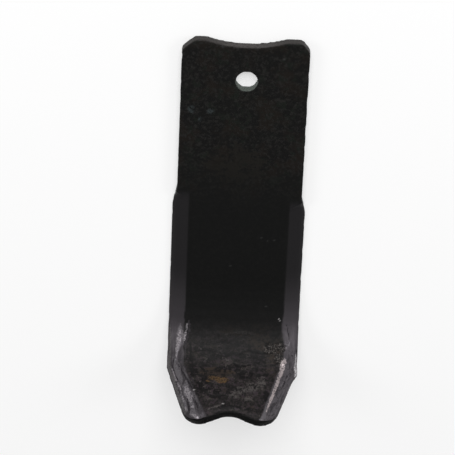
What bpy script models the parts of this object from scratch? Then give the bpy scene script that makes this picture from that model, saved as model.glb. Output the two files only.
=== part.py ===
# A rotary tiller blade of the broad, C-shaped kind: one piece of forged steel bar.
# The flat shank is bolted to the rotor's flange through one hole, its hollow end clears the
# rotor tube, and the tapered foot is bent up to cut and throw the soil. The long edges are
# drawn out on the front in two facets that run from the shoulders round the bend to the tip.
#
# The blank is laid out flat, with x across it and y along it, from the bolt hole (y = 0)
# down to the tip (negative y). Its back lies on z = 0. It is bent last.
import math

import bmesh
import bpy
from mathutils import Matrix, Vector

MM = 0.001

# Bar, and how much each long edge spreads where it is drawn out, below the shoulders
THICKNESS = 7.0 * MM
SHANK_WIDTH = 80.0 * MM
EDGE_SPREAD = 2.65 * MM

# Bolt hole
BOLT_HOLE_DIAMETER = 13.5 * MM
BOLT_HOLE_OFFSET = 1.2 * MM

# Hollow end of the shank
HOLE_TO_END = 28.0 * MM
HOLLOW_DEPTH = 4.1 * MM
CORNER_LEFT_ACROSS = 8.3 * MM
CORNER_LEFT_ALONG = 7.1 * MM
CORNER_RIGHT_ACROSS = 5.2 * MM
CORNER_RIGHT_ALONG = 6.4 * MM
HORN_LEFT = 6.6 * MM
HORN_RIGHT = 9.2 * MM
CORNER_ROUNDING = 5.0 * MM
HORN_ROUNDING = 9.0 * MM

# Shoulders, where the shank widens into the body
HOLE_TO_SHOULDER_LEFT = 78.7 * MM
HOLE_TO_SHOULDER_RIGHT = 83.7 * MM
SHOULDER_LENGTH = 11.0 * MM
SHOULDER_ROUNDING = 20.0 * MM

# Bend, from the body up into the foot: a wide arc, then a tight one
HOLE_TO_BEND = 146.6 * MM
WIDE_BEND_RADIUS = 100.0 * MM
WIDE_BEND_ANGLE = math.radians(16.0)
TIGHT_BEND_RADIUS = 42.0 * MM
TIGHT_BEND_ANGLE = math.radians(51.4)

# Foot, measured on the flat blank from the start of the bend
BEND_TO_KNEE_LEFT = 61.9 * MM
BEND_TO_KNEE_RIGHT = 60.4 * MM
TAPER_LEFT = math.radians(18.0)
TAPER_RIGHT = math.radians(19.2)
KNEE_ROUNDING = 3.0 * MM
BEND_TO_NOTCH = 97.4 * MM
NOTCH_OFFSET = -0.8 * MM
NOTCH_SLOPE = math.radians(24.8)
NOTCH_ROUNDING = 15.0 * MM
LOBE_ROUNDING_LEFT = 11.5 * MM
LOBE_ROUNDING_RIGHT = 12.5 * MM

# Drawn-out edges: a narrow outer facet and a wide inner one above a thin edge. The outer one takes
# its share of the rise. The tip's values hold a little beyond the lobes, where the cut ends.
EDGE_THICKNESS = 2.2 * MM
TIP_EDGE_THICKNESS = 4.0 * MM
OUTER_FACET_WIDTH = 2.6 * MM
OUTER_FACET_SHARE = 0.375
FACETS_WIDTH_LEFT = 10.5 * MM
FACETS_WIDTH_RIGHT = 10.2 * MM
TIP_FACETS_WIDTH_LEFT = 15.0 * MM
TIP_FACETS_WIDTH_RIGHT = 8.6 * MM
FACET_RUN_OUT = 7.0 * MM

ARRIS = 0.5 * MM
CUTTER_MARGIN = 4.0 * MM
SNAP = 0.02 * MM
ARC_STEP = math.radians(9.0)
ARC_SHARE = 0.95
BEND_STEP = math.radians(4.0)
HOLE_FACES = 48
ARRIS_ANGLE = math.radians(30.0)
CREASE_ANGLE = math.radians(12.0)

BEND_Y = -HOLE_TO_BEND
HALF_BODY = SHANK_WIDTH / 2 + EDGE_SPREAD


def clear_scene():
    for item in list(bpy.data.objects):
        bpy.data.objects.remove(item, do_unlink=True)


def steel():
    material = bpy.data.materials.new("forged_steel")
    material.use_nodes = True
    shader = material.node_tree.nodes["Principled BSDF"]
    shader.inputs["Base Color"].default_value = (0.035, 0.034, 0.034, 1.0)
    shader.inputs["Metallic"].default_value = 0.85
    shader.inputs["Roughness"].default_value = 0.5
    return material


def rounded(corners):
    # Turns a closed run of corners (x, y, radius) into points, each corner as its tangent arc.
    # Two rounded corners share the side between them, which limits their arcs.
    points = []
    for index, (x, y, radius) in enumerate(corners):
        corner = Vector((x, y))
        before = corners[index - 1]
        after = corners[(index + 1) % len(corners)]
        back = Vector(before[:2]) - corner
        ahead = Vector(after[:2]) - corner
        turn = math.pi - back.angle(ahead)
        room = min(back.length / (2 if before[2] else 1), ahead.length / (2 if after[2] else 1))
        reach = min(radius * math.tan(turn / 2), room * ARC_SHARE)
        if reach <= 0:
            points.append(corner)
            continue
        radius = reach / math.tan(turn / 2)
        centre = corner + (back.normalized() + ahead.normalized()).normalized() * radius / math.cos(turn / 2)
        arm = corner + back.normalized() * reach - centre
        side = 1 if back.cross(ahead) < 0 else -1
        steps = math.ceil(turn / ARC_STEP)
        points += [centre + Matrix.Rotation(side * turn * step / steps, 2) @ arm for step in range(steps + 1)]
    return points


def hollow_arc(right, left, depth):
    # Points of the arc that sags by depth between two points on one level, ends left out
    half = (right[0] - left[0]) / 2
    radius = (half ** 2 + depth ** 2) / (2 * depth)
    middle = (right[0] + left[0]) / 2
    sweep = math.asin(half / radius)
    steps = max(4, math.ceil(2 * sweep / (ARC_STEP / 3)))
    points = []
    for step in range(1, steps):
        angle = sweep * (1 - 2 * step / steps)
        points.append((middle + radius * math.sin(angle), right[1] - depth + radius * (1 - math.cos(angle))))
    return points


def lobe_corner(side, knee_y, taper, notch):
    # Where the tapered edge, carried on, meets the flank of the notch
    slope = math.tan(NOTCH_SLOPE)
    lean = math.tan(taper)
    drop = (knee_y - notch[1] + slope * (HALF_BODY - side * notch[0])) / (1 + slope * lean)
    return (side * (HALF_BODY - lean * drop), knee_y - drop)


def blank_outline():
    # Anticlockwise from the right shoulder: shank end, left edge, tip, right edge
    shank = SHANK_WIDTH / 2
    end = HOLE_TO_END
    horn_left = CORNER_LEFT_ACROSS + HORN_LEFT - shank
    horn_right = shank - CORNER_RIGHT_ACROSS - HORN_RIGHT
    shoulder_left = -HOLE_TO_SHOULDER_LEFT
    shoulder_right = -HOLE_TO_SHOULDER_RIGHT
    knee_left = BEND_Y - BEND_TO_KNEE_LEFT
    knee_right = BEND_Y - BEND_TO_KNEE_RIGHT
    notch_y = BEND_Y - BEND_TO_NOTCH + NOTCH_ROUNDING * (1 / math.cos(NOTCH_SLOPE) - 1)
    notch = (NOTCH_OFFSET, notch_y)
    hollow = hollow_arc((horn_right, end), (horn_left, end), HOLLOW_DEPTH)
    return rounded([
        (shank, shoulder_right, SHOULDER_ROUNDING),
        (shank, end - CORNER_RIGHT_ALONG, CORNER_ROUNDING),
        (shank - CORNER_RIGHT_ACROSS, end, CORNER_ROUNDING),
        (horn_right, end, HORN_ROUNDING),
        *[(x, y, 0) for x, y in hollow],
        (horn_left, end, HORN_ROUNDING),
        (CORNER_LEFT_ACROSS - shank, end, CORNER_ROUNDING),
        (-shank, end - CORNER_LEFT_ALONG, CORNER_ROUNDING),
        (-shank, shoulder_left, SHOULDER_ROUNDING),
        (-HALF_BODY, shoulder_left - SHOULDER_LENGTH, SHOULDER_ROUNDING),
        (-HALF_BODY, knee_left, KNEE_ROUNDING),
        (*lobe_corner(-1, knee_left, TAPER_LEFT, notch), LOBE_ROUNDING_LEFT),
        (*notch, NOTCH_ROUNDING),
        (*lobe_corner(1, knee_right, TAPER_RIGHT, notch), LOBE_ROUNDING_RIGHT),
        (HALF_BODY, knee_right, KNEE_ROUNDING),
        (HALF_BODY, shoulder_right - SHOULDER_LENGTH, SHOULDER_ROUNDING),
    ])


def new_object(name, bm):
    mesh = bpy.data.meshes.new(name)
    bm.to_mesh(mesh)
    bm.free()
    item = bpy.data.objects.new(name, mesh)
    bpy.context.scene.collection.objects.link(item)
    return item


def as_cutter(item):
    item.hide_render = True
    item.display_type = "WIRE"
    return item


def flat_blank():
    bm = bmesh.new()
    face = bm.faces.new([bm.verts.new((x, y, 0)) for x, y in blank_outline()])
    top = bmesh.ops.extrude_face_region(bm, geom=[face])["geom"]
    raised = [item for item in top if isinstance(item, bmesh.types.BMVert)]
    bmesh.ops.translate(bm, verts=raised, vec=(0, 0, THICKNESS))
    bmesh.ops.recalc_face_normals(bm, faces=bm.faces)
    return new_object("tiller_blade", bm)


def bolt_hole_cutter():
    bm = bmesh.new()
    bmesh.ops.create_cone(
        bm,
        cap_ends=True,
        segments=HOLE_FACES,
        radius1=BOLT_HOLE_DIAMETER / 2,
        radius2=BOLT_HOLE_DIAMETER / 2,
        depth=THICKNESS + 2 * CUTTER_MARGIN,
        matrix=Matrix.Translation((BOLT_HOLE_OFFSET, 0, THICKNESS / 2)),
    )
    return as_cutter(new_object("bolt_hole_cutter", bm))


def facet_section(width, edge, lift):
    # What the forging takes off: distance in from the edge, and height above the back
    outer_rise = (THICKNESS - edge) * OUTER_FACET_SHARE
    outer_slope = outer_rise / OUTER_FACET_WIDTH
    inner_slope = (THICKNESS - edge - outer_rise) / (width - OUTER_FACET_WIDTH)
    top = THICKNESS + CUTTER_MARGIN * inner_slope
    return [
        (-CUTTER_MARGIN, top + lift),
        (-CUTTER_MARGIN, edge - CUTTER_MARGIN * outer_slope + lift),
        (OUTER_FACET_WIDTH, edge + outer_rise + lift),
        (width + CUTTER_MARGIN, top + lift),
    ]


def facet_cutter(name, side, shoulder_y, knee_y, taper, width, tip_width):
    # Swept along one long edge: it rises out of the front at the shoulder and is mitred at the knee
    depth = THICKNESS - EDGE_THICKNESS
    straight = Vector((-side, 0))
    mitre = Vector((-side, math.tan(taper / 2)))
    slanted = Vector((-side * math.cos(taper), math.sin(taper)))
    drop = BEND_TO_NOTCH - (BEND_Y - knee_y) + 2 * LOBE_ROUNDING_RIGHT
    stations = [
        ((HALF_BODY, shoulder_y + FACET_RUN_OUT / 4), straight, width, EDGE_THICKNESS, depth * 5 / 4),
        ((HALF_BODY, shoulder_y - FACET_RUN_OUT), straight, width, EDGE_THICKNESS, 0),
        ((HALF_BODY, knee_y), mitre, width, EDGE_THICKNESS, 0),
        ((HALF_BODY - drop * math.tan(taper), knee_y - drop), slanted, tip_width, TIP_EDGE_THICKNESS, 0),
    ]
    bm = bmesh.new()
    rings = []
    for (across, along), inward, facets, thickness, lift in stations:
        edge = Vector((side * across, along))
        spots = [(edge + inward * distance, z) for distance, z in facet_section(facets, thickness, lift)]
        rings.append([bm.verts.new((spot.x, spot.y, z)) for spot, z in spots])
    for ring, following in zip(rings, rings[1:]):
        for index in range(len(ring)):
            last = index - 1
            bm.faces.new((ring[last], ring[index], following[index], following[last]))
    bm.faces.new(rings[0])
    bm.faces.new(rings[-1])
    bmesh.ops.recalc_face_normals(bm, faces=bm.faces)
    bmesh.ops.triangulate(bm, faces=bm.faces)
    return as_cutter(new_object(name, bm))


def cut(item, cutters):
    # Applies the cuts to the mesh, ready for the next step of the making
    for cutter in cutters:
        modifier = item.modifiers.new(cutter.name, "BOOLEAN")
        modifier.operation = "DIFFERENCE"
        modifier.solver = "EXACT"
        modifier.object = cutter
    graph = bpy.context.evaluated_depsgraph_get()
    forged = bpy.data.meshes.new_from_object(item.evaluated_get(graph))
    item.modifiers.clear()
    item.data = forged
    for cutter in cutters:
        bpy.data.objects.remove(cutter, do_unlink=True)


def bend_station(turned, radius, angle):
    # Developed lengths along one arc of the bend, on the bar's middle plane
    steps = max(1, math.ceil(angle / BEND_STEP))
    return [turned + (radius + THICKNESS / 2) * angle * step / steps for step in range(1, steps + 1)]


def bend_lengths():
    wide = bend_station(0, WIDE_BEND_RADIUS, WIDE_BEND_ANGLE)
    return [0] + wide + bend_station(wide[-1], TIGHT_BEND_RADIUS, TIGHT_BEND_ANGLE)


def bent(point):
    # Carries a point of the flat blank round the two arcs and out along the straight foot
    length = BEND_Y - point.y
    if length <= 0:
        return point.copy()
    y = BEND_Y
    z = THICKNESS / 2
    angle = 0
    for inside, sweep in ((WIDE_BEND_RADIUS, WIDE_BEND_ANGLE), (TIGHT_BEND_RADIUS, TIGHT_BEND_ANGLE)):
        radius = inside + THICKNESS / 2
        turn = min(length / radius, sweep)
        y -= radius * (math.sin(angle + turn) - math.sin(angle))
        z += radius * (math.cos(angle) - math.cos(angle + turn))
        angle += turn
        length -= radius * turn
    y -= length * math.cos(angle)
    z += length * math.sin(angle)
    height = point.z - THICKNESS / 2
    return Vector((point.x, y + height * math.sin(angle), z + height * math.cos(angle)))


def ease_arrises(item):
    bm = bmesh.new()
    bm.from_mesh(item.data)
    bmesh.ops.dissolve_limit(bm, angle_limit=math.radians(0.2), verts=bm.verts, edges=bm.edges)
    sharp = [edge for edge in bm.edges if edge.calc_face_angle(0) > ARRIS_ANGLE]
    bmesh.ops.bevel(bm, geom=sharp, offset=ARRIS, segments=2, profile=0.5, affect="EDGES", clamp_overlap=True)
    bmesh.ops.remove_doubles(bm, verts=bm.verts, dist=SNAP)
    bm.to_mesh(item.data)
    bm.free()


def bend_foot(bm):
    for length in bend_lengths():
        parts = bm.verts[:] + bm.edges[:] + bm.faces[:]
        bmesh.ops.bisect_plane(bm, geom=parts, dist=SNAP, plane_co=(0, BEND_Y - length, 0), plane_no=(0, 1, 0))
    bmesh.ops.triangulate(bm, faces=bm.faces)
    for vertex in bm.verts:
        vertex.co = bent(vertex.co)


def centre_on_floor(bm):
    # The middle of the plan goes to the origin, the back stays on the floor
    xs = [vertex.co.x for vertex in bm.verts]
    ys = [vertex.co.y for vertex in bm.verts]
    middle = Vector(((min(xs) + max(xs)) / 2, (min(ys) + max(ys)) / 2, 0))
    bmesh.ops.translate(bm, verts=bm.verts, vec=-middle)


def build_blade():
    blade = flat_blank()
    left = facet_cutter(
        "left_facet_cutter",
        -1,
        -HOLE_TO_SHOULDER_LEFT,
        BEND_Y - BEND_TO_KNEE_LEFT,
        TAPER_LEFT,
        FACETS_WIDTH_LEFT,
        TIP_FACETS_WIDTH_LEFT,
    )
    right = facet_cutter(
        "right_facet_cutter",
        1,
        -HOLE_TO_SHOULDER_RIGHT,
        BEND_Y - BEND_TO_KNEE_RIGHT,
        TAPER_RIGHT,
        FACETS_WIDTH_RIGHT,
        TIP_FACETS_WIDTH_RIGHT,
    )
    cut(blade, [left, right])
    ease_arrises(blade)
    # The hole is drilled last, so its rims stay sharp
    cut(blade, [bolt_hole_cutter()])
    bm = bmesh.new()
    bm.from_mesh(blade.data)
    bend_foot(bm)
    centre_on_floor(bm)
    bm.to_mesh(blade.data)
    bm.free()
    blade.data.materials.clear()
    blade.data.materials.append(steel())
    blade.data.shade_smooth()
    blade.data.set_sharp_from_angle(angle=CREASE_ANGLE)


clear_scene()
build_blade()
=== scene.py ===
import math

import bmesh
import bpy
from mathutils import Matrix, Vector, noise


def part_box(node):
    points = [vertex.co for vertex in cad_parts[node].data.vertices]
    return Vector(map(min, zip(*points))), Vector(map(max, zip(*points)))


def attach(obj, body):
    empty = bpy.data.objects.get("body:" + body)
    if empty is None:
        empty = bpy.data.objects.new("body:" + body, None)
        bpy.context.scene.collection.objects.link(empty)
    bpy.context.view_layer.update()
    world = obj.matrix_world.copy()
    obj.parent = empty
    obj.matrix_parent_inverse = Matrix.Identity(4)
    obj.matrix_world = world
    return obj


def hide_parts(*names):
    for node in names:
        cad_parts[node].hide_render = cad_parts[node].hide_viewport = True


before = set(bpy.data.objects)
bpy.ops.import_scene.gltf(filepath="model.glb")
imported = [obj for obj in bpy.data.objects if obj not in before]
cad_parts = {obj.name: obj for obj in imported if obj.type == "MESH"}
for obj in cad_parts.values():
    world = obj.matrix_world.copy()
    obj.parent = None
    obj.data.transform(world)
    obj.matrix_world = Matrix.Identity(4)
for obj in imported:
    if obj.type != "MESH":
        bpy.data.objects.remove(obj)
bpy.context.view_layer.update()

mm = 0.001

# Sizes that the shape of the frame doesn't say by itself
bladeShape = {
    "node": "tiller_blade",
    "holeOffset": 1.2 * mm,
    "holeToEnd": 28.0 * mm,
    "holeToBend": 146.6 * mm,
    "wideRadius": 100 * mm,      # inside of the first, wide part of the bend
    "wideAngle": 16.0,
    "tightRadius": 42 * mm,      # inside of the second, tight part
    "tightAngle": 51.4,
    "kneeLeft": 61.9 * mm,       # from the start of the bend, along the bar
    "kneeRight": 60.4 * mm,
    "taperLeft": 18.0,
    "taperRight": 19.2,
    "shoulderLeft": 78.7 * mm,   # from the hole
    "shoulderRight": 83.7 * mm,
    "facetsLeft": 10.5 * mm,
    "facetsRight": 10.2 * mm,
    "tipFacetsLeft": 15.0 * mm,
    "tipFacetsRight": 8.6 * mm,
    "tipFacetsAt": 61 * mm,      # from the knee
    "notch": 97.4 * mm,          # from the start of the bend
    "notchOffset": -0.8 * mm,
    "notchSlope": 24.8,
    "notchSoft": 6.9 * mm,       # how round the middle of the notch is
}


def smooth(low, high, value):
    part = min(1.0, max(0.0, (value - low) / (high - low)))
    return part * part * (3 - 2 * part)


# Where the frame puts the blade
lowCorner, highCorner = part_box(bladeShape["node"])
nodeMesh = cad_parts[bladeShape["node"]].data
halfBody = (highCorner.x - lowCorner.x) / 2
holeY = highCorner.y - bladeShape["holeToEnd"]
bendY = holeY - bladeShape["holeToBend"]
thickness = max(v.co.z for v in nodeMesh.vertices if v.co.y > holeY)


class Bend:
    # The middle line of the bar, from the start of the bend to the tip
    def __init__(self, shape):
        self.half = thickness / 2
        self.turnA = math.radians(shape["wideAngle"])
        self.turnB = self.turnA + math.radians(shape["tightAngle"])
        self.radiusA = shape["wideRadius"] + self.half
        self.radiusB = shape["tightRadius"] + self.half
        self.centreA = Vector((bendY, self.half + self.radiusA))
        toEndA = Vector((-math.sin(self.turnA), -math.cos(self.turnA)))
        self.centreB = self.centreA + toEndA * (self.radiusA - self.radiusB)
        self.lengthA = self.radiusA * self.turnA
        self.lengthB = self.lengthA + self.radiusB * (self.turnB - self.turnA)
        self.along = Vector((-math.cos(self.turnB), math.sin(self.turnB)))
        self.up = Vector((math.sin(self.turnB), math.cos(self.turnB)))
        self.footStart = self.centreB - self.up * self.radiusB

    def flat(self, point):
        # Across, along the bar from the start of the bend, height over the middle, and the turn there
        place = Vector((point.y, point.z))
        if place.x >= bendY:
            return point.x, bendY - place.x, place.y - self.half, 0.0
        armA = self.centreA - place
        turn = math.atan2(armA.x, armA.y)
        if turn <= self.turnA:
            return point.x, self.radiusA * turn, self.radiusA - armA.length, turn
        armB = self.centreB - place
        turn = math.atan2(armB.x, armB.y)
        if turn <= self.turnB:
            along = self.lengthA + self.radiusB * (turn - self.turnA)
            return point.x, along, self.radiusB - armB.length, turn
        step = place - self.footStart
        return point.x, self.lengthB + step.dot(self.along), step.dot(self.up), self.turnB


bend = Bend(bladeShape)


def edgeAt(across, along):
    # Half width there, and the width of the facets, on the side that across is on
    side = "Left" if across < 0 else "Right"
    knee = bladeShape["knee" + side]
    facets = bladeShape["facets" + side]
    if along <= knee:
        return halfBody, facets
    lean = math.tan(math.radians(bladeShape["taper" + side]))
    grown = (along - knee) / bladeShape["tipFacetsAt"]
    return halfBody - (along - knee) * lean, facets + (bladeShape["tipFacets" + side] - facets) * grown


def tipAt(across):
    # How far along the notched tip lies
    off = across - bladeShape["notchOffset"]
    soft = bladeShape["notchSoft"]
    rise = math.tan(math.radians(bladeShape["notchSlope"]))
    return bladeShape["notch"] + rise * (math.hypot(off, soft) - soft)


print("blade: an even mesh from the frame")
blade = {
    "weld": 0.002 * mm,         # vertices this near are one
    "voxel": 0.76 * mm,         # size of the even mesh
    "smoothing": 2,
    "holeKept": 9 * mm,         # no smoothing this near the hole's middle
}


def evenCopy(node, name, weld, voxel):
    bm = bmesh.new()
    bm.from_mesh(node.data)
    bmesh.ops.remove_doubles(bm, verts=bm.verts, dist=weld)
    mesh = bpy.data.meshes.new(name)
    bm.to_mesh(mesh)
    bm.free()
    piece = bpy.data.objects.new(name, mesh)
    bpy.context.scene.collection.objects.link(piece)
    remesh = piece.modifiers.new("evenMesh", "REMESH")
    remesh.mode = "VOXEL"
    remesh.voxel_size = voxel
    remesh.adaptivity = 0
    graph = bpy.context.evaluated_depsgraph_get()
    dense = bpy.data.meshes.new_from_object(piece.evaluated_get(graph))
    piece.modifiers.clear()
    piece.data = dense
    return piece


bladePiece = evenCopy(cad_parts[bladeShape["node"]], "blade", blade["weld"], blade["voxel"])
bm = bmesh.new()
bm.from_mesh(bladePiece.data)
print("  vertices", len(bm.verts))
holeCentre = Vector((bladeShape["holeOffset"], holeY))
offHole = [v for v in bm.verts if (v.co.xy - holeCentre).length > blade["holeKept"]]
for _ in range(blade["smoothing"]):
    bmesh.ops.smooth_vert(bm, verts=offHole, factor=0.5, use_axis_x=True, use_axis_y=True, use_axis_z=True)

print("blade: forging marks")
# Each is a depth, and the size of its hollows where it has them
forging = {
    "wave": (0.14 * mm, 26 * mm),       # slow hollows of the rolled and forged faces
    "scalePits": (0.06 * mm, 2.6 * mm),
    "bigDent": (0.30 * mm, 10 * mm),    # hammer marks inside the foot
    "smallDent": (0.15 * mm, 4.2 * mm),
    "grit": (0.16 * mm, 1.9 * mm),
    "pits": (0.7 * mm, 2.4 * mm),
    "bitten": 0.5 * mm,
    "nick": 1.1 * mm,                   # in the front rim of the hollow end
    "lumps": (0.25 * mm, 2.8 * mm),     # on the facets of the foot
    "edgeBite": (0.35 * mm, 5 * mm),    # uneven edges
    "footFrom": 24 * mm,                # along the bar, where the marks of the foot begin and are full
    "footFull": 46 * mm,
    "tipRound": 4.6 * mm,               # wear on the front edge of the tip, gone at the lobes
    "tipRoundTo": (15 * mm, 25 * mm),
    "burrOut": 1.2 * mm,                # how far the right knee is mushroomed outwards
    "burrAt": 64.2 * mm,
    "burrReach": 6.0 * mm,
    "burrAcross": (36 * mm, 41 * mm),
    "burrSize": 2.4 * mm,
    "burrInside": 0.1 * mm,             # how far it stays inside the body's width
}

# How far each kind of stroke stands proud
strokeRise = {
    "worn": 0.15 * mm,
    "rim": 0.05 * mm,
    "crestHighlight": 0.2 * mm,
    "stripHighlight": -0.3 * mm,
    "burrHighlight": 0.1 * mm,
    "groove": -0.35 * mm,
    "arc": -0.2 * mm,
    "scuff": 0.1 * mm,
}

# Strokes of wear, painted highlights and painted sheen, and their grooves: across, along and half width at
# each turn, all in mm
strokes = {
    # worn bare metal, lightened partly as painted sheen where the facets of the foot tilt toward the light
    "worn": [
        [(-34.8, 33.0, 0.4), (-34.6, 37.0, 1.6), (-34.8, 41.0, 2.4), (-35.3, 46.0, 2.2), (-36.3, 51.0, 1.1)],
        [(-36.3, 50.0, 1.0), (-36.8, 55.0, 0.8), (-37.2, 58.0, 0.8), (-37.5, 61.5, 1.0)],
        [(-30.4, 31.5, 0.3), (-30.2, 34.0, 0.8), (-31.0, 38.0, 0.7), (-32.0, 42.0, 1.1), (-32.4, 46.0, 0.4)],
        [(-37.6, 60.0, 0.9), (-36.6, 64.5, 1.9), (-35.0, 68.5, 2.4), (-33.2, 72.5, 1.5), (-32.6, 75.0, 0.6)],
        [(-29.6, 74.0, 0.5), (-29.9, 78.0, 1.8), (-29.4, 81.0, 2.5), (-28.2, 85.0, 2.0)],
        [(-32.6, 84.0, 0.8), (-30.6, 89.0, 1.0), (-28.4, 96.0, 0.9)],
        [(-25.4, 91.0, 1.6), (-24.6, 96.0, 1.5), (-24.2, 99.0, 2.2), (-21.6, 101.8, 2.0)],
        [(34.6, 44.5, 0.5), (36.4, 45.0, 0.8), (37.2, 42.5, 0.4)],
        [(19.4, 102.4, 1.3), (21.2, 100.2, 1.4), (22.2, 96.0, 0.6), (22.6, 92.5, 0.5)],
    ],
    "rim": [
        [(-41.4, 34.0, 0.3), (-41.2, 46.0, 0.6), (-41.0, 62.0, 0.9), (-35.4, 80.5, 0.8), (-29.6, 98.0, 0.7)],
    ],
    # painted highlights along the crests and lips of the left facets
    "crestHighlight": [
        [(-30.7, 38.5, 0.2), (-31.4, 41.5, 0.5), (-31.9, 45.0, 0.2)],
        [(-34.6, 37.5, 0.4), (-35.2, 41.0, 1.0), (-35.2, 44.5, 1.6)],
        [(-35.2, 44.5, 1.6), (-36.2, 48.0, 1.0), (-36.7, 52.5, 0.5), (-36.7, 57.5, 0.35)],
        [(-29.6, 79.0, 0.8), (-28.6, 82.0, 1.6), (-27.0, 86.0, 1.9), (-25.8, 89.6, 0.9)],
        [(-25.2, 92.4, 0.7), (-24.6, 95.0, 0.7)],
        [(-24.6, 99.6, 0.8), (-22.0, 101.6, 0.9), (-20.6, 101.8, 0.5)],
        [(-39.4, 63.5, 0.2), (-37.6, 68.5, 0.35), (-36.2, 72.2, 0.5), (-35.6, 74.0, 0.2)],
        [(-35.2, 75.0, 0.3), (-34.4, 76.5, 0.7), (-33.0, 80.0, 0.4), (-32.4, 82.5, 0.2)],
        [(-31.9, 84.5, 0.2), (-31.2, 87.0, 0.5), (-30.6, 89.5, 0.2)],
        [(-29.6, 92.5, 0.2), (-28.8, 95.5, 0.5)],
    ],
    # painted highlight along the ridge at the inner border of the right facets
    "stripHighlight": [
        [(34.2, 55.0, 0.6), (33.4, 57.5, 1.9), (32.6, 61.5, 1.8), (31.9, 65.5, 1.1), (29.9, 73.0, 1.1)],
        [(29.9, 73.0, 1.1), (27.4, 81.0, 0.95), (25.2, 88.0, 0.85), (23.6, 93.0, 0.5), (22.8, 96.0, 0.25)],
    ],
    # painted highlight on the mushroomed right knee
    "burrHighlight": [
        [(41.6, 50.5, 0.3), (41.7, 53.0, 0.5), (41.5, 57.0, 0.6), (41.2, 60.5, 1.0)],
        [(41.2, 60.5, 1.0), (40.9, 64.0, 1.1), (40.4, 65.5, 0.6)],
    ],
    "groove": [
        [(-29.2, 30.0, 0.3), (-28.7, 34.0, 0.6), (-29.2, 38.0, 0.7), (-30.0, 42.0, 0.8)],
        [(-30.0, 42.0, 0.8), (-30.8, 46.0, 0.7), (-31.0, 52.0, 0.5), (-30.9, 57.0, 0.3)],
        [(-35.0, 58.0, 0.3), (-34.8, 62.0, 0.5), (-32.2, 67.5, 0.5), (-30.2, 71.0, 0.5)],
        [(-30.2, 71.0, 0.5), (-28.0, 75.0, 0.6), (-26.0, 78.0, 0.7), (-24.6, 83.0, 0.5)],
        [(-31.5, 62.0, 0.3), (-29.0, 67.0, 0.5), (-26.6, 71.5, 0.5), (-24.2, 77.0, 0.3)],
        [(-38.3, 56.0, 0.3), (-38.8, 62.0, 0.5), (-37.0, 68.0, 0.5), (-34.8, 74.0, 0.4)],
        [(34.3, 30.0, 0.15), (35.0, 33.0, 0.3), (36.0, 37.5, 0.35), (37.0, 41.0, 0.2)],
        [(-28.6, 88.0, 0.4), (-27.4, 93.5, 0.7), (-27.0, 98.0, 0.5)],
        [(-24.6, 86.0, 0.3), (-23.2, 90.0, 0.6), (-21.4, 95.0, 0.4)],
        [(31.8, 70.0, 0.3), (29.6, 77.0, 0.4), (27.4, 84.0, 0.3)],
        [(36.4, 66.0, 0.3), (34.0, 73.0, 0.5), (32.2, 78.0, 0.3)],
    ],
    "arc": [
        [(-24.9, 51.9, 0.5), (-17.1, 49.5, 0.9), (-9.9, 51.3, 0.6)],
        [(2.6, 53.0, 0.5), (10.3, 49.4, 1.0), (18.8, 51.6, 0.6)],
        [(0.1, 59.0, 0.6), (5.4, 61.8, 1.1), (11.9, 60.0, 0.7)],
        [(-16.8, 83.2, 0.8), (-12.2, 86.1, 1.3), (-5.8, 84.3, 0.8)],
        [(19.2, 42.4, 0.4), (23.2, 45.7, 0.8), (24.7, 50.7, 0.6)],
        [(-12.0, 45.7, 0.4), (-6.9, 44.1, 0.7), (-0.3, 45.3, 0.4)],
        [(-20.6, 62.9, 0.8), (-17.3, 66.8, 1.1), (-16.5, 72.4, 0.8)],
        [(-27.5, 46.0, 0.5), (-27.4, 54.0, 1.0), (-25.5, 62.0, 0.7)],
    ],
    "scuff": [
        [(-15.8, 96.3, 0.5), (-8.8, 92.9, 0.9), (-5.0, 91.2, 0.5)],
        [(5.8, 82.3, 0.5), (9.6, 79.0, 0.9), (13.5, 79.6, 0.5)],
        [(-5.1, 39.1, 0.5), (4.7, 37.3, 0.9), (13.8, 38.3, 0.6)],
        [(16.6, 69.3, 0.4), (17.3, 75.6, 0.9), (16.1, 80.3, 0.5)],
        [(21.2, 69.9, 0.4), (21.2, 75.4, 0.7)],
        [(-6.5, 55.5, 0.3), (-2.5, 57.6, 0.6)],
        [(-18.8, 59.0, 0.3), (-16.2, 56.7, 0.7)],
        [(-22.0, 48.6, 0.3), (-20.4, 50.0, 0.5)],
    ],
}

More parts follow.
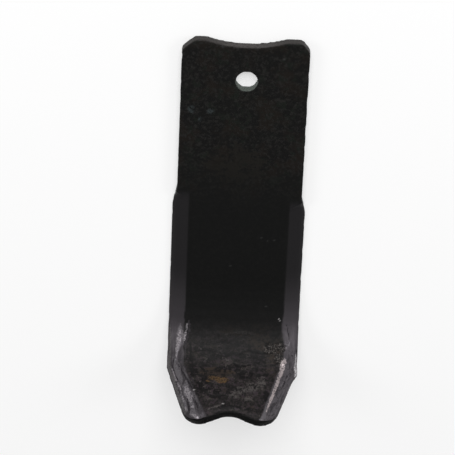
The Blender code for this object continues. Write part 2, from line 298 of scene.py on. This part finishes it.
# Small marks: across, along, half width, half length, all in mm
spots = {
    "rust": [
        (-13.2, 71.4, 3.0, 2.2),
        (-6.2, 73.1, 4.2, 2.4),
        (-15.5, 74.0, 1.6, 1.2),
        (-9.5, 71.2, 2.2, 1.2),
    ],
    "pale": [
        (4.5, 80.5, 6.5, 3.2),
        (12.5, 78.0, 5.5, 4.0),
        (19.6, 73.5, 2.4, 5.0),
        (0.0, 85.0, 5.0, 2.0),
        (10.0, 87.0, 3.0, 1.6),
    ],
    "brown": [
        (8.0, 35.0, 20.0, 5.0),
        (20.0, 44.0, 12.0, 6.0),
        (27.5, 52.0, 5.0, 7.0),
        (-10.0, 67.0, 12.0, 4.5),
    ],
    "dark": [
        (-20.0, 50.0, 8.0, 2.0),
        (-8.0, 53.5, 7.0, 2.2),
        (9.0, 54.0, 9.0, 2.0),
        (18.0, 56.5, 5.0, 4.0),
        (-2.0, 64.0, 9.0, 3.6),
        (9.0, 68.0, 6.0, 4.0),
        (-19.0, 78.0, 5.0, 7.0),
        (-10.5, 81.0, 4.5, 3.6),
        (22.5, 84.0, 2.2, 6.0),
        (-25.0, 66.0, 3.0, 6.0),
        # painted shade across the middle just before the notch, where the tip rounds over
        (-2.0, 93.5, 10.0, 2.2),
    ],
    # small bright beads; the last two, on the right of the foot, are painted glints
    "beadAndGlint": [
        (-24.4, 81.2, 0.6, 0.55),
        (-5.4, 91.0, 0.7, 0.45),
        (29.5, 26.6, 0.45, 0.35),
        (29.9, 27.8, 0.4, 0.35),
    ],
    "fleck": [
        (15.3, -33.6, 0.7, 0.6),
        (19.3, -31.5, 0.6, 0.5),
        (23.7, -32.4, 0.8, 0.5),
        (-3.7, -11.7, 0.7, 0.6),
        (23.9, -163.3, 0.9, 0.8),
        (-7.6, 89.4, 0.7, 0.6),
        (20.5, 18.0, 0.7, 0.5),
    ],
    "nick": [(-14.9, -172.0, 1.2, 1.6)],
    "teal": [(-32.6, -125.7, 2.3, 3.2), (-20.6, -124.8, 2.4, 2.2), (-27.0, -119.0, 1.5, 2.0)],
    "patch": [(-4.0, -87.0, 20.0, 15.0)],
    "pits": [(25.0, 48.0, 6.5, 4.5), (30.0, 54.5, 3.4, 5.0), (32.0, 47.0, 3.0, 4.0), (31.5, 60.0, 2.0, 3.0)],
    "bitten": [
        (39.2, 51.7, 0.7, 0.5),
        (42.2, 48.4, 0.5, 0.9),
        (41.0, 54.8, 0.6, 0.5),
        (42.4, 51.0, 0.4, 0.5),
        (41.6, 58.4, 0.4, 0.4),
    ],
}

# How ragged the rims of the marks are, and where in its half width a mark fades
rims = {
    "spot": {"height": 0.3, "ragged": 0.5, "size": 2.2 * mm, "fade": (0.55, 1.15), "far": 1.7},
    "stroke": {"height": 0.1, "ragged": 0.9, "size": 1.7 * mm, "fade": (0.5, 1.3), "far": 1.8},
}
strokeClear = 5          # mm along the bar, past which a stroke isn't looked at
strokesFrom = 15 * mm    # along the bar, and none before it

# Where the facets end to the eye, as lengths along the bar and how far the border strays
border = {
    "from": 12 * mm,
    "full": 30 * mm,
    "wander": (1.5 * mm, 9 * mm),
    "ragged": (0.9 * mm, 2.6 * mm),
    "wornBack": 1.6 * mm,            # on the right side only, between these places
    "wornFrom": (34 * mm, 46 * mm),
    "wornTo": (54 * mm, 60 * mm),
}


def ripple(x, y, z, size):
    # From 0 to 1, with hollows of about this size
    return 0.5 + 0.5 * noise.noise(Vector((x, y, z)) / size)


def bowls(x, y, z, size):
    # Round dents that meet in low ridges, 1 at the bottom of a dent
    nearest = noise.voronoi(Vector((x, y, z)) / size)[0][0]
    return max(0.0, 1 - nearest * nearest * 1.6)


def insideMark(rim, across, along, away):
    # 1 in the middle of a mark, 0 outside, with an uneven rim; away is 1 at its half width
    if away >= rim["far"]:
        return 0.0
    uneven = rim["ragged"] * (ripple(across, along, rim["height"], rim["size"]) - 0.5)
    return 1 - smooth(*rim["fade"], away + uneven)


def spotAt(kind, across, along):
    best = 0.0
    for x, y, halfWide, halfLong in spots[kind]:
        away = math.hypot((across / mm - x) / halfWide, (along / mm - y) / halfLong)
        best = max(best, insideMark(rims["spot"], across, along, away))
    return best


def strokeAt(kind, across, along):
    x, y = across / mm, along / mm
    best = 0.0
    for line in strokes[kind]:
        for (x1, y1, wide1), (x2, y2, wide2) in zip(line, line[1:]):
            if not min(y1, y2) - strokeClear < y < max(y1, y2) + strokeClear:
                continue
            runX, runY = x2 - x1, y2 - y1
            part = ((x - x1) * runX + (y - y1) * runY) / (runX * runX + runY * runY)
            part = min(1.0, max(0.0, part))
            wide = wide1 + (wide2 - wide1) * part
            away = math.hypot(x - x1 - part * runX, y - y1 - part * runY) / wide
            best = max(best, insideMark(rims["stroke"], across, along, away))
    return best


def borderAt(across, along, facets):
    # Straight on the body, uneven and worn back round the foot
    if along < border["from"]:
        return facets
    (wander, wanderSize), (ragged, raggedSize) = border["wander"], border["ragged"]
    stray = wander * (ripple(0.05 if across < 0 else 0.2, along, 2, wanderSize) - 0.5)
    stray += ragged * (ripple(across, along, 5, raggedSize) - 0.5)
    if across > 0:
        worn = smooth(*border["wornFrom"], along) * (1 - smooth(*border["wornTo"], along))
        stray -= border["wornBack"] * worn
    return facets + smooth(border["from"], border["full"], along) * stray


def marksAt(across, along):
    # All the listed marks at one place
    found = {kind: spotAt(kind, across, along) for kind in spots}
    for kind in strokes:
        found[kind] = strokeAt(kind, across, along) if along > strokesFrom else 0.0
    return found


def relief(name, pattern, x, y, z):
    deep, size = forging[name]
    return deep * pattern(x, y, z, size)


def depthAt(across, along, height, normal, turn, marks):
    # How far the surface is pressed in at one place
    up = normal.y * math.sin(turn) + normal.z * math.cos(turn)
    half, facets = edgeAt(across, along)
    inward = half - abs(across)
    depth = relief("wave", ripple, across, along, height * 4)
    depth += relief("scalePits", ripple, across, along, height)
    depth += forging["nick"] * marks["nick"] * smooth(0, bend.half, height)
    foot = smooth(forging["footFrom"], forging["footFull"], along)
    if up > 0.3 and foot > 0:
        inside = foot * smooth(facets * 0.9, facets * 1.2, inward)
        depth += inside * relief("bigDent", bowls, across, along, 0)
        depth += inside * relief("smallDent", bowls, across + 0.1, along, 0)
        depth += inside * relief("grit", ripple, across, along, 0.7)
        depth += (foot - inside) * relief("lumps", ripple, inward * 1.6, along * 0.45, across * 0.2)
        depth += marks["pits"] * relief("pits", bowls, across, along, 0.4)
        depth += marks["bitten"] * forging["bitten"]
        for kind, rise in strokeRise.items():
            depth -= rise * marks[kind]
    wall = 1 - smooth(0.2, 0.8, abs(up))
    bite, biteSize = forging["edgeBite"]
    return depth + bite * wall * smooth(0.5, 0.9, ripple(across * 0.2, along, 3, biteSize))


def burredKnee(point, across, along):
    # Pushes the right knee outwards, no further than the body's own width
    if across < forging["burrAcross"][0] or abs(along - forging["burrAt"]) > forging["burrReach"]:
        return point
    near = 1 - smooth(0, forging["burrReach"], abs(along - forging["burrAt"]))
    uneven = 0.7 + 0.6 * ripple(0, along, 8, forging["burrSize"])
    out = forging["burrOut"] * near * uneven * smooth(*forging["burrAcross"], across)
    room = halfBody - forging["burrInside"] - point.x
    return point + Vector((max(0.0, min(out, room)), 0, 0))


def wornTip(point, across, along, height, turn):
    # Pulls the front edge of the tip back on to a round
    radius = forging["tipRound"]
    slope = math.cos(math.radians(bladeShape["notchSlope"]))
    back = (tipAt(across) - along) * slope
    deep = bend.half - height
    if back >= radius or deep >= radius:
        return point
    fromMiddle = math.hypot(radius - back, radius - deep)
    if fromMiddle <= radius:
        return point
    share = (1 - radius / fromMiddle) * (1 - smooth(*forging["tipRoundTo"], abs(across)))
    along3 = Vector((0, -math.cos(turn), math.sin(turn)))
    up3 = Vector((0, math.sin(turn), math.cos(turn)))
    return point - along3 * (radius - back) * share - up3 * (radius - deep) * share


bm.normal_update()
flats = [bend.flat(v.co) for v in bm.verts]
normals = [v.normal.copy() for v in bm.verts]
allMarks = [marksAt(across, along) for across, along, height, turn in flats]
for v, normal, (across, along, height, turn), marks in zip(bm.verts, normals, flats, allMarks):
    moved = v.co - normal * depthAt(across, along, height, normal, turn, marks)
    moved = burredKnee(moved, across, along)
    v.co = wornTip(moved, across, along, height, turn)
bm.normal_update()
bm.to_mesh(bladePiece.data)
bm.free()
for polygon in bladePiece.data.polygons:
    polygon.use_smooth = True

print("blade: surface maps")
# Where each look begins and is full: along the bar, or away from the hole or the middle line
zones = {
    "runOut": (0.0, 6 * mm),            # facets, from the shoulder
    "border": (-0.4 * mm, 0.5 * mm),    # across the border of the facets
    "softBorder": (20 * mm, 40 * mm),   # along the bar, on the right side only
    "bare": (-12 * mm, 50 * mm),
    "ground": (10 * mm, 55 * mm),
    "foot": (23 * mm, 73 * mm),
    "shank": (50 * mm, 95 * mm),
    "endFace": (14 * mm, 20 * mm),
    "endCorners": (10 * mm, 24 * mm),
    "holeWall": (8 * mm, 9 * mm),
    "tipFaceShade": (85 * mm, 90 * mm),
}
softerBy = 0.6 * mm


def surfaceValues(normal, across, along, turn, marks):
    # What the steel looks like at one point, each from 0 to 1
    up = normal.y * math.sin(turn) + normal.z * math.cos(turn)
    half, facets = edgeAt(across, along)
    inward = half - abs(across)
    shoulder = bladeShape["shoulderLeft" if across < 0 else "shoulderRight"]
    fromHole = along + bladeShape["holeToBend"]
    front = smooth(0.1, 0.5, up)
    facetEnd = borderAt(across, along, facets)
    softer = softerBy * smooth(*zones["softBorder"], along) if across > 0 else 0.0
    fromBorder, toBorder = zones["border"]
    onFacets = 1 - smooth(facetEnd + fromBorder - softer, facetEnd + toBorder + softer, inward)
    facet = front * onFacets * smooth(*zones["runOut"], fromHole - shoulder)
    wall = 1 - smooth(0.25, 0.75, abs(up))
    toTip = normal.z * math.sin(turn) - normal.y * math.cos(turn)
    nearHole = math.hypot(across - bladeShape["holeOffset"], fromHole)
    endCorner = smooth(*zones["endCorners"], abs(across))
    values = {
        "facet": facet,
        "bare": facet * smooth(*zones["bare"], along),
        "ground": facet * smooth(*zones["ground"], along) if across > 0 else 0.0,
        "foot": smooth(*zones["foot"], along) * smooth(0.1, 0.5, abs(up)),
        "shank": 1 - smooth(*zones["shank"], fromHole),
        "endFace": wall * smooth(*zones["endFace"], -fromHole) * (1 - 0.5 * endCorner),
        "holeWall": wall * (1 - smooth(*zones["holeWall"], nearHole)),
        # painted shade on the end of the tip, which faces away from the light
        "tipFaceShade": smooth(0.3, 0.7, toTip) * smooth(*zones["tipFaceShade"], along),
    }
    for kind, mark in marks.items():
        values[kind] = front * mark
    return values


def paint(mesh, name, kind, field, values):
    mesh.attributes.new(name, kind, "POINT").data.foreach_set(field, values)


def edgePlace(across, along):
    # Inwards from the edge and along it, each side with its own share of the textures
    return edgeAt(across, along)[0] - abs(across), along, 0.03 if across < 0 else 0.0


places = [part for flat in flats for part in flat[:3]]
edgePlaces = [part for flat in flats for part in edgePlace(*flat[:2])]
paint(bladePiece.data, "flat", "FLOAT_VECTOR", "vector", places)
paint(bladePiece.data, "alongEdge", "FLOAT_VECTOR", "vector", edgePlaces)
surface = []
for normal, (across, along, height, turn), marks in zip(normals, flats, allMarks):
    surface.append(surfaceValues(normal, across, along, turn, marks))
mapNames = list(surface[0])
for name in mapNames:
    paint(bladePiece.data, name, "FLOAT", "value", [values[name] for values in surface])

print("materials")


def newGroup(name, inputs, outputs):
    group = bpy.data.node_groups.new(name, "ShaderNodeTree")
    for label, kind in inputs:
        group.interface.new_socket(label, in_out="INPUT", socket_type=kind)
    for label, kind in outputs:
        group.interface.new_socket(label, in_out="OUTPUT", socket_type=kind)
    return group, group.nodes.new("NodeGroupInput"), group.nodes.new("NodeGroupOutput")


def mapRange(nodes, links, value, low, high, toLow=0.0, toHigh=1.0, kind="SMOOTHSTEP"):
    node = nodes.new("ShaderNodeMapRange")
    node.interpolation_type = kind
    links.new(value, node.inputs["Value"])
    for name, number in (("From Min", low), ("From Max", high), ("To Min", toLow), ("To Max", toHigh)):
        node.inputs[name].default_value = number
    return node.outputs["Result"]


# Scale, detail, roughness and distortion of each noise
noises = {
    "Cloud": (60, 5, 0.62, 0.0),
    "Blotch": (170, 4, 0.6, 0.3),
    "Flake": (480, 4, 0.65, 0.5),
    "Grain": (1500, 2, 0.5, 0.0),
    "Streak": (620, 4, 0.62, 0.6),
    "Speckle": (900, 3, 0.75, 0.0),
    "Band": (330, 4, 0.6, 0.4),
}
stretches = {"Streak": ("Along Edge", (1, 0.22, 1)), "Band": ("Place", (0.3, 1, 1))}
fullContrast = {"names": ("Streak", "Speckle", "Band"), "range": (0.34, 0.66)}
mottleMix = {
    "base": "Blotch",
    "shares": {"Flake": 1.3, "Speckle": 1.1, "Band": 0.7},
    "range": (1.81, 2.30),      # of their sum
}


def timesPlus(nodes, links, value, factor, added):
    node = nodes.new("ShaderNodeMath")
    node.operation = "MULTIPLY_ADD"
    links.new(value, node.inputs[0])
    node.inputs[1].default_value = factor
    links.new(added, node.inputs[2])
    return node.outputs[0]


def mottleGroup():
    # Cloudy patches with crisp flakes in them, as forging scale has
    inputs = [("Place", "NodeSocketVector"), ("Along Edge", "NodeSocketVector")]
    outputs = [(name, "NodeSocketFloat") for name in [*noises, "Mottle"]]
    group, start, end = newGroup("forgingScale", inputs, outputs)
    nodes, links = group.nodes, group.links
    made = {}
    for name, (scale, detail, roughness, distortion) in noises.items():
        texture = nodes.new("ShaderNodeTexNoise")
        texture.inputs["Scale"].default_value = scale
        texture.inputs["Detail"].default_value = detail
        texture.inputs["Roughness"].default_value = roughness
        texture.inputs["Distortion"].default_value = distortion
        source = start.outputs["Place"]
        if name in stretches:
            socket, stretch = stretches[name]
            mapping = nodes.new("ShaderNodeMapping")
            mapping.inputs["Scale"].default_value = stretch
            links.new(start.outputs[socket], mapping.inputs["Vector"])
            source = mapping.outputs["Vector"]
        links.new(source, texture.inputs["Vector"])
        made[name] = value = texture.outputs["Fac"]
        if name in fullContrast["names"]:
            value = mapRange(nodes, links, value, *fullContrast["range"], kind="LINEAR")
        links.new(value, end.inputs[name])
    total = made[mottleMix["base"]]
    for name, share in mottleMix["shares"].items():
        total = timesPlus(nodes, links, made[name], share, total)
    links.new(mapRange(nodes, links, total, *mottleMix["range"], kind="LINEAR"), end.inputs["Mottle"])
    return group


steelLook = {
    "scale": (0.0040, 0.0040, 0.0038, 1),         # black forging scale on the shank
    "scaleLight": (0.0125, 0.0120, 0.0112, 1),
    "scaleWarm": (0.0080, 0.0062, 0.0048, 1),
    "scaleGreen": (0.0060, 0.0076, 0.0058, 1),
    "body": (0.0038, 0.0039, 0.0038, 1),          # smoother and darker below the shoulders
    "bodyLight": (0.0052, 0.0052, 0.0050, 1),
    "facet": (0.0125, 0.0116, 0.0126, 1),
    "bare": (0.0620, 0.0560, 0.0620, 1),
    "ground": (0.0920, 0.0840, 0.0920, 1),        # right side of the foot
    "streakDark": (0.0440, 0.0400, 0.0430, 1),
    "streakLight": (0.1150, 0.1060, 0.1130, 1),
    # worn metal, partly painted sheen
    "worn": (0.1280, 0.1190, 0.1280, 1),
    "rim": (0.1150, 0.1100, 0.1080, 1),
    # painted highlight on the crests of the left facets
    "crestHighlight": (0.2650, 0.2450, 0.2600, 1),
    "groove": (0.0240, 0.0210, 0.0240, 1),
    # painted highlight on the ridge of the right facets
    "stripHighlight": (0.3800, 0.3300, 0.3300, 1),
    # painted highlight on the burr of the right knee
    "burrHighlight": (0.5200, 0.5000, 0.5100, 1),
    "footDark": (0.0045, 0.0040, 0.0042, 1),
    "footLight": (0.0230, 0.0192, 0.0186, 1),
    "footFleck": (0.0520, 0.0440, 0.0410, 1),
    "footBrown": (0.0300, 0.0215, 0.0160, 1),
    "footPlum": (0.0270, 0.0200, 0.0240, 1),
    "footGreen": (0.0190, 0.0215, 0.0170, 1),
    "rust": (0.0720, 0.0430, 0.0190, 1),
    "pale": (0.0580, 0.0520, 0.0500, 1),
    "dark": (0.0040, 0.0034, 0.0036, 1),
    # bright beads, and painted glints
    "beadAndGlint": (0.3000, 0.2900, 0.2900, 1),
    "fleck": (0.0240, 0.0240, 0.0235, 1),
    "teal": (0.0230, 0.0280, 0.0290, 1),
    "patch": (0.0092, 0.0082, 0.0068, 1),
    "pits": (0.0045, 0.0038, 0.0034, 1),
    "pitRim": (0.0680, 0.0600, 0.0560, 1),
    "bitten": (0.0080, 0.0070, 0.0070, 1),
    "nick": (0.0050, 0.0045, 0.0045, 1),
    "endFace": (0.0500, 0.0450, 0.0430, 1),
    "endDark": (0.0290, 0.0255, 0.0245, 1),
    "holeWall": (0.0900, 0.1050, 0.0920, 1),
    # painted shade on the end of the tip
    "tipFaceShade": (0.0015, 0.0015, 0.0015, 1),
}
steelFinish = {
    "metallic": (0.0, 0.75),        # under scale, and bare
    "roughness": (0.56, 0.44),
    "specular": 0.14,
    "bumpStrength": 0.5,
    "bumpDistance": 0.12 * mm,
}


def mixColour(nodes, links, factor, first, second):
    mix = nodes.new("ShaderNodeMix")
    mix.data_type = "RGBA"
    links.new(factor, mix.inputs["Factor"])
    for value, name in ((first, "A"), (second, "B")):
        socket = [s for s in mix.inputs if s.name == name and s.type == "RGBA"][0]
        if isinstance(value, tuple):
            socket.default_value = value
        else:
            links.new(value, socket)
    return [s for s in mix.outputs if s.type == "RGBA"][0]


def both(nodes, links, first, second):
    # Where one mask and the other are
    node = nodes.new("ShaderNodeMath")
    node.operation = "MULTIPLY"
    links.new(first, node.inputs[0])
    links.new(second, node.inputs[1])
    return node.outputs[0]


def forgedSteel():
    material = bpy.data.materials.new("forgedSteel")
    material.use_nodes = True
    nodes, links = material.node_tree.nodes, material.node_tree.links
    shader = nodes["Principled BSDF"]
    place = nodes.new("ShaderNodeAttribute")
    place.attribute_name = "flat"
    maps = {}
    for name in mapNames:
        reader = nodes.new("ShaderNodeAttribute")
        reader.attribute_name = name
        maps[name] = reader.outputs["Fac"]
    scale = nodes.new("ShaderNodeGroup")
    scale.node_tree = mottleGroup()
    links.new(place.outputs["Vector"], scale.inputs["Place"])
    edge = nodes.new("ShaderNodeAttribute")
    edge.attribute_name = "alongEdge"
    links.new(edge.outputs["Vector"], scale.inputs["Along Edge"])
    cloud, blotch, flake, grain, streak, speckle, band, mottle = scale.outputs

    def where(texture, low, high):
        # 0 at low and 1 at high, either way round
        return mapRange(nodes, links, texture, low, high)

    def lay(under, mask, look, texture=None, low=0.0, high=1.0):
        # A colour over the one under it, where the mask and the texture are
        if texture is not None:
            mask = both(nodes, links, mask, where(texture, low, high))
        return mixColour(nodes, links, mask, under, steelLook[look])

    def frayed(mask, texture, spread):
        # The same mask, broken up by the texture where it is weak
        pushed = timesPlus(nodes, links, texture, spread, mask)
        broken = where(pushed, 0.5 * spread + 0.35, 0.5 * spread + 0.65)
        return both(nodes, links, broken, where(mask, 0.0, 0.2))

    def byBare(values):
        return mapRange(nodes, links, maps["bare"], 0.0, 1.0, *values)

    # Shank and body under scale
    colour = lay(steelLook["scale"], where(cloud, 0.46, 0.6), "scaleWarm")
    colour = lay(colour, where(blotch, 0.54, 0.64), "scaleGreen")
    colour = lay(colour, where(flake, 0.47, 0.66), "scaleLight")
    colour = lay(colour, frayed(maps["patch"], mottle, 0.9), "patch", mottle, 0.1, 0.7)
    colour = lay(colour, maps["teal"], "teal", flake, 0.38, 0.56)
    plain = lay(steelLook["body"], where(flake, 0.45, 0.65), "bodyLight")
    colour = mixColour(nodes, links, maps["shank"], plain, colour)

    # Foot, hammered and rubbed by soil
    rubbed = lay(steelLook["footDark"], mottle, "footLight")
    rubbed = lay(rubbed, where(mottle, 0.75, 1.0), "footFleck")
    rubbed = lay(rubbed, where(cloud, 0.53, 0.62), "footBrown", mottle, 0.4, 1.1)
    rubbed = lay(rubbed, where(flake, 0.52, 0.6), "footPlum", mottle, 0.1, 0.9)
    rubbed = lay(rubbed, where(flake, 0.46, 0.38), "footGreen", mottle, 0.1, 0.9)
    rubbed = lay(rubbed, frayed(maps["brown"], band, 1.0), "footBrown", mottle, 0.1, 0.9)
    rubbed = lay(rubbed, frayed(maps["dark"], band, 0.9), "dark", mottle, 1.0, 0.5)
    rubbed = lay(rubbed, frayed(maps["arc"], flake, 0.5), "dark", speckle, 1.1, 0.5)
    rubbed = lay(rubbed, frayed(maps["scuff"], speckle, 0.9), "pale", speckle, 0.2, 0.8)
    rubbed = lay(rubbed, maps["pale"], "pale", mottle, 0.1, 0.9)
    rubbed = lay(rubbed, frayed(maps["rust"], mottle, 1.2), "rust", speckle, 0.1, 0.7)
    colour = mixColour(nodes, links, maps["foot"], colour, rubbed)

    # Drawn-out facets, bare round the bend and worn on the foot, with painted highlights and painted sheen
    # on them
    for name in ("facet", "bare", "ground"):
        colour = lay(colour, maps[name], name)
    footEdge = both(nodes, links, maps["bare"], maps["foot"])
    colour = lay(colour, footEdge, "streakDark", streak, 0.5, 0.9)
    colour = lay(colour, footEdge, "streakLight", streak, 0.45, 0.1)
    colour = lay(colour, footEdge, "streakDark", speckle, 0.5, 0.9)
    colour = lay(colour, frayed(maps["rim"], speckle, 1.2), "rim", speckle, 0.1, 0.8)
    # worn metal, partly painted sheen
    colour = lay(colour, frayed(maps["worn"], streak, 0.8), "worn", speckle, -0.2, 0.8)
    colour = lay(colour, frayed(maps["pits"], flake, 0.5), "pits", speckle, 0.5, 0.62)
    colour = lay(colour, frayed(maps["pits"], flake, 0.5), "pitRim", speckle, 0.45, 0.2)
    colour = lay(colour, frayed(maps["groove"], streak, 0.8), "groove", speckle, 0.0, 0.6)
    # painted highlights: along the left crests, the strip on the right facets and the burr on the right knee
    for name, spread, gaps in (("crestHighlight", 1.1, 0.8), ("stripHighlight", 0.9, 0.6), ("burrHighlight", 0.9, 0.7)):
        colour = lay(colour, frayed(maps[name], speckle, spread), name, speckle, 0.05, gaps)
    # the end of the tip gets painted shade here, and two of the beads are painted glints
    for name in ("endFace", "bitten", "nick", "holeWall", "tipFaceShade", "fleck", "beadAndGlint"):
        colour = lay(colour, maps[name], name)
    colour = lay(colour, maps["endFace"], "endDark", flake, 0.48, 0.6)
    colour = lay(colour, maps["tipFaceShade"], "footLight", speckle, 0.75, 1.0)
    links.new(colour, shader.inputs["Base Color"])
    links.new(byBare(steelFinish["metallic"]), shader.inputs["Metallic"])
    links.new(byBare(steelFinish["roughness"]), shader.inputs["Roughness"])
    shader.inputs["Specular IOR Level"].default_value = steelFinish["specular"]
    bump = nodes.new("ShaderNodeBump")
    bump.inputs["Strength"].default_value = steelFinish["bumpStrength"]
    bump.inputs["Distance"].default_value = steelFinish["bumpDistance"]
    links.new(mixColour(nodes, links, maps["foot"], grain, flake), bump.inputs["Height"])
    links.new(bump.outputs["Normal"], shader.inputs["Normal"])
    return material


bladePiece.data.materials.clear()
bladePiece.data.materials.append(forgedSteel())
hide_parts(bladeShape["node"])
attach(bladePiece, "root")

print("studio")
studio = {
    "floorSize": 4,
    "floorDrop": 0.2 * mm,
    "floorColour": (0.97, 0.97, 0.97, 1),
    "floorRoughness": 0.9,
    "floorGlow": 0.5,        # share of plain white that the camera sees in the floor
    "world": 0.30,
    # From where: bearing from +Y and elevation
    "key": {"from": (0.0, 45.0), "distance": 2.4, "size": 1.66, "power": 44},
    "left": {"from": (75.0, 35.0), "distance": 2.2, "size": 0.92, "power": 7.4},
    "right": {"from": (-75.0, 35.0), "distance": 2.2, "size": 0.92, "power": 7.4},
}


def paleFloor():
    bm = bmesh.new()
    bmesh.ops.create_grid(bm, x_segments=1, y_segments=1, size=studio["floorSize"])
    bmesh.ops.translate(bm, verts=bm.verts, vec=(0, 0, -studio["floorDrop"]))
    mesh = bpy.data.meshes.new("floor")
    bm.to_mesh(mesh)
    bm.free()
    floor = bpy.data.objects.new("floor", mesh)
    bpy.context.scene.collection.objects.link(floor)
    material = bpy.data.materials.new("paleFloor")
    material.use_nodes = True
    shader = material.node_tree.nodes["Principled BSDF"]
    shader.inputs["Base Color"].default_value = studio["floorColour"]
    shader.inputs["Roughness"].default_value = studio["floorRoughness"]
    shader.inputs["Specular IOR Level"].default_value = 0.0
    nodes, links = material.node_tree.nodes, material.node_tree.links
    rays = nodes.new("ShaderNodeLightPath")
    glow = nodes.new("ShaderNodeEmission")
    seen = rays.outputs["Is Camera Ray"]
    for other in ("Is Glossy Ray", "Is Transmission Ray"):
        add = nodes.new("ShaderNodeMath")
        add.operation = "ADD"
        links.new(seen, add.inputs[0])
        links.new(rays.outputs[other], add.inputs[1])
        seen = add.outputs[0]
    share = mapRange(nodes, links, seen, 0.0, 1.0, 0.0, studio["floorGlow"])
    mix = nodes.new("ShaderNodeMixShader")
    links.new(share, mix.inputs["Fac"])
    links.new(shader.outputs["BSDF"], mix.inputs[1])
    links.new(glow.outputs["Emission"], mix.inputs[2])
    links.new(mix.outputs["Shader"], nodes["Material Output"].inputs["Surface"])
    mesh.materials.append(material)


def softLamp(name, spec):
    bearing, elevation = (math.radians(angle) for angle in spec["from"])
    level = math.cos(elevation)
    out = Vector((-math.sin(bearing) * level, math.cos(bearing) * level, math.sin(elevation)))
    data = bpy.data.lights.new(name, "AREA")
    data.shape = "DISK"
    data.size = spec["size"]
    data.energy = spec["power"]
    lamp = bpy.data.objects.new(name, data)
    lamp.location = out * spec["distance"]
    lamp.rotation_euler = out.to_track_quat("Z", "Y").to_euler()
    bpy.context.scene.collection.objects.link(lamp)


paleFloor()
for name in ("key", "left", "right"):
    softLamp(name, studio[name])
world = bpy.data.worlds.new("studioWorld")
world.use_nodes = True
world.node_tree.nodes["Background"].inputs["Color"].default_value = (1, 1, 1, 1)
world.node_tree.nodes["Background"].inputs["Strength"].default_value = studio["world"]
bpy.context.scene.world = world
bpy.context.scene.view_settings.view_transform = "Standard"

print("camera")
view = {
    "tilt": 30.82,
    "yaw": 0.84,
    "roll": 2.55,
    "lens": 239.95,
    "sensor": 36,
    "distance": 1.9437,
    "aim": (-6.74 * mm, -106.05 * mm),      # from the hole
}


def addCamera():
    turn = Matrix.Rotation(math.radians(-view["yaw"]), 4, "Y")
    turn = turn @ Matrix.Rotation(math.radians(-view["tilt"]), 4, "X")
    turn = turn @ Matrix.Rotation(math.radians(view["roll"]), 4, "Z")
    aim = Vector((view["aim"][0], holeY + view["aim"][1], thickness))
    data = bpy.data.cameras.new("camera")
    data.lens = view["lens"]
    data.sensor_width = view["sensor"]
    camera = bpy.data.objects.new("camera", data)
    back = turn.to_3x3() @ Vector((0, 0, view["distance"]))
    camera.matrix_world = Matrix.Translation(aim + back) @ turn
    bpy.context.scene.collection.objects.link(camera)
    bpy.context.scene.camera = camera


addCamera()

bpy.context.view_layer.update()
